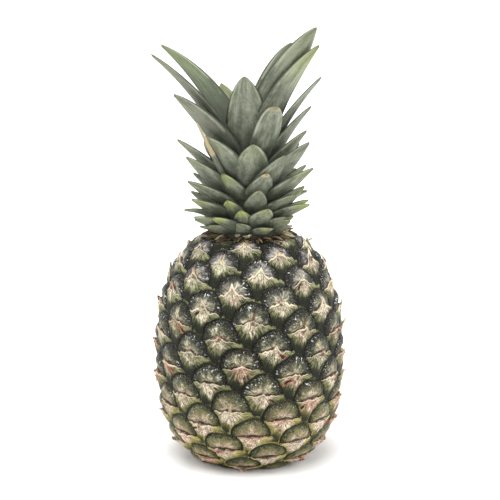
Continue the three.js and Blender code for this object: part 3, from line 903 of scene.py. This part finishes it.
# Colours of the leaves, the small dried bracts, the cut stalk and the floor
LEAF_OUTER = srgb(90, 97, 77)
LEAF_INNER = srgb(68, 80, 50)
LEAF_SILVER = srgb(158, 163, 144)
# painted highlight beside the leaf edges
LEAF_GLEAM = srgb(188, 194, 170)
# dark of the scurf pits, also painted shade at the leaf roots and along the leaf edges
LEAF_PITS_AND_SHADE = srgb(36, 44, 29)
LEAF_DULL = srgb(104, 96, 88)
LEAF_BRIGHT = srgb(160, 168, 84)
LEAF_TIP = srgb(104, 98, 66)
LEAF_DRY = srgb(176, 160, 124)
DRY_BROWN = srgb(96, 78, 58)
DRY_TAN = srgb(160, 134, 100)
DRY_CREAM = srgb(228, 220, 180)
DRY_GREEN = srgb(118, 124, 66)
DRY_VEIN = srgb(74, 56, 38)
DRY_ROOT = srgb(44, 42, 28)
STALK_DARK = srgb(132, 104, 70)
STALK_PALE = srgb(200, 176, 132)
STALK_STAIN = srgb(96, 84, 56)
FLOOR_LIGHT = (0.74, 0.74, 0.74, 1.0)
FLOOR_SHADE = (0.72, 0.72, 0.72, 1.0)


def by_level(g, level, colours):
    """Blend of three colours from the foot (0) over the middle to the shoulder (1) of the fruit."""
    low, middle, high = colours
    lower = g.mix(g.step(level, 0.1, 0.42), low, middle)
    return g.mix(g.step(level, 0.55, 0.86), lower, high)


def skin_fields(g):
    """Attributes and noises of the skin. Angle and reach run out from the middle of the crease."""
    f = SimpleNamespace()
    f.u, f.above, f.reach = g.attribute("place")
    f.random_a, f.random_b, f.level = g.attribute("identity")
    f.dome, f.gap, f.scar = g.attribute("masks")
    f.angle = g.math("ARCTAN2", f.u, f.above)
    f.rays = g.math("ARCTAN2", f.u, g.sub(3, f.above))
    f.width = g.math("ABSOLUTE", f.u)
    f.down = g.mul(f.above, -1)
    f.own = g.mul(f.random_a, 57)
    f.fibre = g.fibres((f.angle, 3.6), (f.reach, 1.1), f.own, 3.2, 5, 0.7)
    f.reed = g.fibres((f.rays, 4.5), (f.reach, 0.8), g.add(f.own, 3), 3.2, 3, 0.65)
    broad = g.fibres((f.angle, 1.3), (f.reach, 1.6), g.add(f.own, 9), 1.5, 2, 0.5)
    f.wander = g.swing(broad, 0.7)
    f.grain = g.speckle(750, 3, 0.75)
    f.speck = g.speckle(1500, 2, 0.6)
    f.mottle = g.speckle(190, 3, 0.6)
    f.patch = g.speckle(330, 3, 0.65)
    f.taper = g.add(g.mul(f.width, 0.055), g.add(g.mul(f.down, 0.085), g.mul(f.wander, 0.5)))
    blush = g.step(g.add(g.mul(f.random_b, 0.45), g.mul(f.patch, 0.9)), 0.55, 0.85)
    f.fan = g.mix(blush, by_level(g, f.level, FAN), by_level(g, f.level, FAN_PINK))
    return f


def dome_body(g, f):
    """Dark dome with a paler haze between its middle and its rim."""
    cloud = g.add(g.mul(f.mottle, 0.55), g.add(g.mul(f.grain, 0.25), g.mul(f.fibre, 0.2)))
    cloud = g.add(cloud, g.step(f.level, 0.45, 0.1, 0, 0.03))
    cloud = g.add(cloud, g.step(f.level, 0.55, 0.85, 0, 0.02))
    haze = g.mul(g.step(cloud, 0.5, 0.62), g.step(f.reach, 0.9, 0.55))
    body = by_level(g, f.level, DOME_BODY)
    return g.mix(g.mul(haze, 0.75), body, by_level(g, f.level, DOME_HAZE))


def dome_glint(g, f):
    """Where small painted glints, bright highlight flecks, lie in clusters inside the rim."""
    band = g.mul(g.step(f.reach, 0.55, 0.7), g.step(f.reach, 0.94, 0.86))
    spark = g.fibres((f.angle, 3.2), (f.reach, 2), g.add(f.own, 17), 3, 2, 0.6)
    cluster = g.fibres((f.angle, 0.8), (f.reach, 0.6), g.add(f.own, 23), 2, 1, 0.5)
    cluster = g.mul(g.step(cluster, 0.46, 0.56), g.step(f.level, 0.02, 0.3))
    return g.mul(g.mul(g.step(spark, 0.605, 0.65), g.mul(band, cluster)), 0.95)


def dome_colour(g, f):
    """Pale streaks out of the crease over a hazy dark dome, with a darker rim, small painted glints
    and painted shade along the crease.
    """
    streak = g.step(g.add(g.mul(f.fibre, 0.65), g.mul(f.grain, 0.35)), 0.44, 0.57)
    near = g.add(g.add(f.reach, g.mul(f.wander, 1.3)), g.swing(f.mottle, 0.5))
    smoky = g.step(f.level, 0.5, 0.85, 0.1, 0.38)
    pale = g.mul(g.step(near, 0.74, 0.16), g.add(smoky, g.mul(g.sub(1, smoky), streak)))
    colour = g.mix(pale, dome_body(g, f), by_level(g, f.level, DOME_INNER))
    heart = g.mul(g.step(near, 0.46, 0.12), g.step(streak, 0, 1, 0.3, 0.8))
    colour = g.mix(heart, colour, by_level(g, f.level, FAN))
    ring = g.add(f.reach, g.add(g.mul(f.wander, 0.35), g.swing(f.grain, 0.2)))
    ring = g.add(ring, g.swing(f.mottle, g.step(f.level, 0.5, 0.2, 0.1, 0.7)))
    ring = g.sub(ring, g.step(f.level, 0.45, 0.15, 0, 0.05))
    colour = g.mix(g.step(ring, 0.66, 0.84), colour, by_level(g, f.level, DOME_RIM))
    # painted highlights: small white glints inside the rim
    colour = g.mix(dome_glint(g, f), colour, GLINT)
    # painted shade in the crease, under the lip of the bract
    crease = g.step(g.add(f.above, g.swing(f.mottle, 1.6)), 1.7, 0.5)
    return g.mix(g.mul(crease, 0.85), colour, CREASE_SHADE)


def tuft_colour(g, f, leafy):
    """Straw that fans out under the crease, torn open to the leafy bract below it."""
    straw = g.fibres((f.rays, 8.5), (f.reach, 1), g.add(f.own, 13), 3.2, 4, 0.6)
    light = g.step(g.add(g.mul(straw, 0.7), g.mul(f.grain, 0.3)), 0.45, 0.53)
    tuft = g.mix(light, by_level(g, f.level, FAN_SHADE), f.fan)
    torn = g.add(g.mul(f.patch, 0.6), g.add(g.mul(f.reed, 0.25), g.mul(f.random_a, 0.15)))
    torn = g.mul(g.step(torn, 0.47, 0.6), g.step(f.level, 0.1, 0.45, 0.3, 0.75))
    return g.mix(torn, tuft, leafy)


def scarred(g, f, colour):
    """A colour with a dark torn hole in a reddish patch."""
    hole = g.add(f.scar, g.add(g.swing(f.grain, 1.1), g.swing(f.mottle, 1.2)))
    sore = g.mul(g.step(hole, 1.9, 1.2), g.step(g.add(f.fibre, g.mul(f.random_a, 0.2)), 0.5, 0.7))
    colour = g.mix(g.mul(sore, 0.7), colour, SCAR_PINK)
    return g.mix(g.mul(g.step(hole, 1, 0.7), 0.95), colour, SCAR_HOLE_AND_SHADOW)


def bract_colour(g, f):
    """Leafy bract with a tuft of straw, a dark foot that goes black in painted shade toward the
    groove, pale wings and a pale hem along the groove.
    """
    wing = by_level(g, f.level, WING)
    foot = by_level(g, f.level, BRACT_FOOT)
    leafy = g.mix(g.mul(g.step(f.reed, 0.42, 0.62), 0.85), foot, wing)
    spread = g.sub(f.wander, g.step(f.level, 0.4, 0.1, 0, 0.25))
    spread = g.add(g.mul(f.width, 0.1), g.add(g.mul(f.down, 0.075), spread))
    colour = g.mix(g.step(spread, 0.9, 0.5), leafy, tuft_colour(g, f, leafy))
    # painted shade over the bract's own dark foot: darker, then black, where the bract sinks toward
    # the groove
    colour = g.mix(g.mul(g.step(f.taper, 0.72, 1.08), 0.95), colour, foot)
    groove_shade = g.step(g.add(f.taper, g.mul(f.reed, 0.3)), 1.15, 1.4)
    colour = g.mix(g.mul(groove_shade, 0.8), colour, GROOVE_BLACK_AND_SHADE)
    tip = g.mul(g.step(f.width, 6, 10), g.step(f.above, -3.4, -1.2))
    colour = g.mix(g.mul(tip, g.step(f.reed, 0.3, 0.6, 0.25, 0.85)), colour, wing)
    hem = g.mul(g.step(f.gap, 0.05, 0.08), g.step(f.gap, 0.17, 0.11))
    hem = g.mul(hem, g.mul(g.step(g.add(f.mottle, g.mul(f.level, -0.4)), 0.36, 0.52), 0.6))
    return scarred(g, f, g.mix(hem, colour, wing))


def skin_material():
    """Eyes from attributes: dome and bract, fine dark cracks, grey specks and black grooves
    deepened with painted shade.
    """
    g = Graph("pineapple_skin")
    f = skin_fields(g)
    colour = g.mix(g.step(f.dome, 0.35, 0.65), bract_colour(g, f), dome_colour(g, f))
    thread = g.fibres((f.angle, 5), (f.reach, 1.6), g.add(f.own, 31), 3, 3, 0.6)
    crack = g.step(g.math("ABSOLUTE", g.sub(thread, 0.5)), 0.035, 0)
    colour = g.mix(g.mul(crack, 0.7), colour, GROOVE_BLACK_AND_SHADE)
    ash = g.step(g.add(g.mul(f.speck, 0.5), g.mul(f.grain, 0.5)), 0.54, 0.68)
    colour = g.mix(g.mul(ash, g.step(f.taper, 1, 0.7, 0.03, 0.2)), colour, f.fan)
    # painted shade, partly the skin's own dark: black down in the grooves round each eye
    colour = g.mix(g.mul(g.step(f.gap, 0.08, 0.01), 0.95), colour, GROOVE_BLACK_AND_SHADE)
    gloss = g.mul(f.dome, g.step(f.reach, 0.35, 0.75))
    roughness = g.sub(g.add(0.62, g.swing(f.grain, 0.3)), g.mul(gloss, 0.34))
    bump = g.add(g.mul(f.fibre, 0.45), g.add(g.mul(f.grain, 0.4), g.mul(f.speck, 0.15)))
    return g.finish(colour, roughness, bump, 0.0018, 0.22)


def husk_material():
    """Dry fibres that fan out from the thorn, with a thin cream or reddish lip."""
    g = Graph("dry_husk")
    along, across, _ = g.attribute("place")
    random_a, random_b, level = g.attribute("identity")
    angle = g.math("ARCTAN2", across, g.sub(1.25, along))
    fibre = g.fibres((angle, 6), (along, 0.6), g.mul(random_a, 31), 3.4, 5, 0.7)
    mottle = g.speckle(420, 3, 0.6)
    side = g.math("ABSOLUTE", across)
    ragged = g.add(side, g.swing(mottle, 0.9))
    fan = g.mix(g.step(random_b, 0.3, 0.9), by_level(g, level, FAN), by_level(g, level, FAN_PINK))
    colour = g.mix(g.mul(g.step(ragged, 0.22, 0.6), 0.9), fan, by_level(g, level, WING))
    dark = g.add(g.mul(fibre, 0.6), g.mul(mottle, 0.4))
    dark = g.step(g.sub(dark, g.step(level, 0.5, 0.8, 0, 0.045)), 0.55, 0.45)
    colour = g.mix(g.mul(dark, 0.8), colour, by_level(g, level, FAN_SHADE))
    # dark rents low on the husk, partly painted shadow below the lip
    rents_and_shadow = g.step(g.speckle(520, 2, 0.6), 0.6, 0.66)
    colour = g.mix(g.mul(rents_and_shadow, g.mul(g.step(along, 0.85, 0.6), 0.85)), colour, SCAR_HOLE_AND_SHADOW)
    flush = g.add(g.mul(random_a, 0.3), g.step(level, 0.45, 0.15, 0, 0.15))
    lip = g.mix(g.step(g.add(g.mul(mottle, 0.8), flush), 0.6, 0.85), LIP_CREAM, LIP_RED)
    edge = g.step(g.add(along, g.swing(mottle, 0.3)), 0.6, 0.78)
    colour = g.mix(g.mul(edge, g.step(ragged, 0.95, 0.5, 0.25, 0.92)), colour, lip)
    thorn = g.mix(g.step(random_b, 0.3, 0.5), THORN_BROWN, by_level(g, level, FAN))
    thorn = g.mix(g.step(random_a, 0.66, 0.72), thorn, THORN_RED)
    tip = g.mul(g.step(side, 0.16, 0.05), g.step(along, 0.55, 0.95))
    colour = g.mix(g.mul(tip, 0.8), colour, thorn)
    return g.finish(colour, 0.72, g.add(fibre, g.mul(mottle, 0.5)), 0.0009)


def leaf_edge_highlight_and_shade(g, colour, across, reach, blotch):
    """A colour with a patchy painted highlight beside each edge of a leaf, and painted shade along
    the edge.
    """
    side = g.math("ABSOLUTE", across)
    # painted highlight just inside each edge
    gleam = g.mul(g.step(side, 0.74, 0.82), g.step(side, 0.92, 0.86))
    gleam = g.mul(gleam, g.step(g.add(reach, g.swing(blotch, 1.6)), 0.35, 0.8, 0, 0.3))
    colour = g.mix(gleam, colour, LEAF_GLEAM)
    # painted shade: a dark line along each edge, where the leaves overlap
    return g.mix(g.mul(g.step(side, 0.88, 0.98), 0.85), colour, LEAF_PITS_AND_SHADE)


def leaf_material():
    """Scurfy grey-green outer face with faint veins, greener inner face, painted shade at the root,
    browned tip.
    """
    g = Graph("crown_leaf")
    along, across, face = g.attribute("place")
    random_a, dry, bright = g.attribute("identity")
    own = g.mul(random_a, 43)
    vein = g.fibres((across, 8), (along, 0.6), own, 2.4, 4, 0.6)
    blotch = g.fibres((across, 1.6), (along, 3), g.add(own, 5), 1.7, 4, 0.65)
    scurf = g.noise(g.position((1, 1, 0.8)), 900, 3, 0.7)
    outer = g.step(face, 0.3, -0.3)
    colour = g.mix(outer, LEAF_INNER, LEAF_OUTER)
    bloom = g.add(g.mul(vein, 0.15), g.add(g.mul(blotch, 0.65), g.mul(scurf, 0.2)))
    bloom = g.mul(g.step(bloom, 0.36, 0.68), g.add(0.2, g.mul(outer, 0.6)))
    colour = g.mix(bloom, colour, LEAF_SILVER)
    pits = g.step(g.add(g.mul(vein, 0.2), g.mul(scurf, 0.8)), 0.46, 0.34)
    colour = g.mix(g.mul(pits, 0.25), colour, LEAF_PITS_AND_SHADE)
    dull = g.mul(g.step(random_a, 0.4, 1), g.mul(g.step(blotch, 0.4, 0.65), 0.5))
    colour = g.mix(dull, colour, LEAF_DULL)
    reach = g.add(along, g.swing(blotch, 0.3))
    colour = g.mix(g.mul(bright, g.step(reach, 0.58, 0.95)), colour, LEAF_BRIGHT)
    # painted shade over a slightly darker root: each leaf darkens towards its root, where the
    # leaves crowd
    colour = g.mix(g.mul(g.step(reach, 0.8, 0.1), 0.92), colour, LEAF_PITS_AND_SHADE)
    colour = leaf_edge_highlight_and_shade(g, colour, across, reach, blotch)
    ragged = g.add(along, g.add(g.swing(scurf, 0.12), dry))
    colour = g.mix(g.mul(g.step(ragged, 0.98, 1.03), g.step(dry, 0, 0.1)), colour, LEAF_DRY)
    tip = g.step(g.add(along, g.swing(blotch, 0.1)), 0.965, 0.995)
    colour = g.mix(g.mul(tip, 0.8), colour, LEAF_TIP)
    roughness = g.add(0.5, g.mul(scurf, 0.2))
    return g.finish(colour, roughness, g.add(g.mul(vein, 0.5), g.mul(scurf, 0.5)), 0.0008)


def dry_material():
    """Small dried bracts: brown, tan, cream or a little green, with dark veins and roots."""
    g = Graph("dry_bract")
    along, across, _ = g.attribute("place")
    random_a, random_b, _ = g.attribute("identity")
    vein = g.fibres((across, 6), (along, 0.8), g.mul(random_a, 23), 2.5, 4, 0.6)
    base = g.mix(g.step(random_a, 0.3, 0.4), DRY_BROWN, DRY_TAN)
    base = g.mix(g.step(random_a, 0.74, 0.78), base, DRY_CREAM)
    base = g.mix(g.mul(g.step(random_b, 0.82, 0.86), 0.7), base, DRY_GREEN)
    colour = g.mix(g.step(vein, 0.6, 0.35), base, DRY_VEIN)
    colour = g.mix(g.step(along, 0.6, 0.2), colour, DRY_ROOT)
    return g.finish(colour, 0.75, vein, 0.0006)


def spine_material():
    """Dry spines: cream, brown or orange red, darker at the point."""
    g = Graph("dry_spine")
    along, across, _ = g.attribute("place")
    random_a, random_b, _ = g.attribute("identity")
    vein = g.fibres((across, 3), (along, 1.5), g.mul(random_a, 19), 2.5, 3, 0.6)
    colour = g.mix(g.step(random_b, 0.45, 0.5), SPINE_CREAM, SPINE_BROWN)
    colour = g.mix(g.step(random_b, 0.9, 0.93), colour, THORN_RED)
    colour = g.mix(g.mul(g.step(vein, 0.6, 0.4), 0.5), colour, SPINE_DARK)
    colour = g.mix(g.mul(g.step(along, 0.6, 1), 0.6), colour, SPINE_DARK)
    return g.finish(colour, 0.7, vein, 0.0004)


def stalk_material():
    """Upright fibres of the cut stalk, with darker stains."""
    g = Graph("cut_stalk")
    fibre = g.noise(g.position((1, 1, 0.2)), 900, 4, 0.6)
    stain = g.speckle(120, 3, 0.6)
    colour = g.mix(g.step(fibre, 0.35, 0.65), STALK_DARK, STALK_PALE)
    colour = g.mix(g.mul(g.step(stain, 0.5, 0.7), 0.5), colour, STALK_STAIN)
    return g.finish(colour, 0.85, fibre, 0.0008)


def floor_material():
    g = Graph("pale_floor")
    soft = g.speckle(3, 2, 0.5)
    colour = g.mix(g.mul(soft, 0.02), FLOOR_LIGHT, FLOOR_SHADE)
    return g.finish(colour, 0.9, soft, 0.0001, 0.1)


def dress(piece, material, slot, *nodes):
    piece.data.materials.append(material)
    if nodes:
        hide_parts(*nodes)
    return piece


def build_pineapple():
    dress(fruit_piece(), skin_material(), "skin", "fruit")
    dress(husk_piece(), husk_material(), "skin")
    dress(spine_piece(), spine_material(), "skin")
    dress(stalk_piece(), stalk_material(), "stalk", "stalk")
    leaves = leaf_material()
    dress(leaf_piece(), leaves, "leaf", "crown")
    dress(stem_piece(), dry_material(), "leaf")
    dress(bract_piece(), dry_material(), "leaf")


def build_floor():
    mesh = bpy.data.meshes.new("floor")
    signs = ((-1, -1), (1, -1), (1, 1), (-1, 1))
    corners = [(x * FLOOR_HALF, y * FLOOR_HALF, 0) for x, y in signs]
    mesh.from_pydata(corners, [], [(0, 1, 2, 3)])
    floor = placed("floor", mesh)
    mesh.materials.append(floor_material())


def build_camera():
    data = bpy.data.cameras.new("camera")
    data.lens = CAMERA_LENS
    data.sensor_width = CAMERA_SENSOR
    camera = placed("camera", data)
    e = math.radians(CAMERA_ELEVATION)
    away = Vector((0, -math.cos(e), math.sin(e)))
    camera.location = CAMERA_TARGET + away * CAMERA_DISTANCE
    camera.rotation_euler = away.to_track_quat("Z", "Y").to_euler()
    camera.rotation_euler.rotate_axis("Z", math.radians(CAMERA_ROLL))
    bpy.context.scene.camera = camera


def soft_light(name, azimuth, elevation, spread, strength):
    """A large far studio light: it lights the whole floor evenly and gives soft shadows."""
    data = bpy.data.lights.new(name, "SUN")
    data.angle = math.radians(spread)
    data.energy = strength
    light = placed(name, data)
    a, e = math.radians(azimuth - 90), math.radians(elevation)
    away = Vector((math.cos(a) * math.cos(e), math.sin(a) * math.cos(e), math.sin(e)))
    light.rotation_euler = away.to_track_quat("Z", "Y").to_euler()


def build_light():
    world = bpy.data.worlds.new("studio")
    world.use_nodes = True
    sky = world.node_tree.nodes["Background"]
    sky.inputs["Color"].default_value = (1, 1, 1, 1)
    sky.inputs["Strength"].default_value = SKY_STRENGTH
    bpy.context.scene.world = world
    for name, values in LIGHTS.items():
        soft_light(name, *values)


bpy.context.scene.view_settings.view_transform = "Standard"
build_pineapple()
build_floor()
build_light()
build_camera()
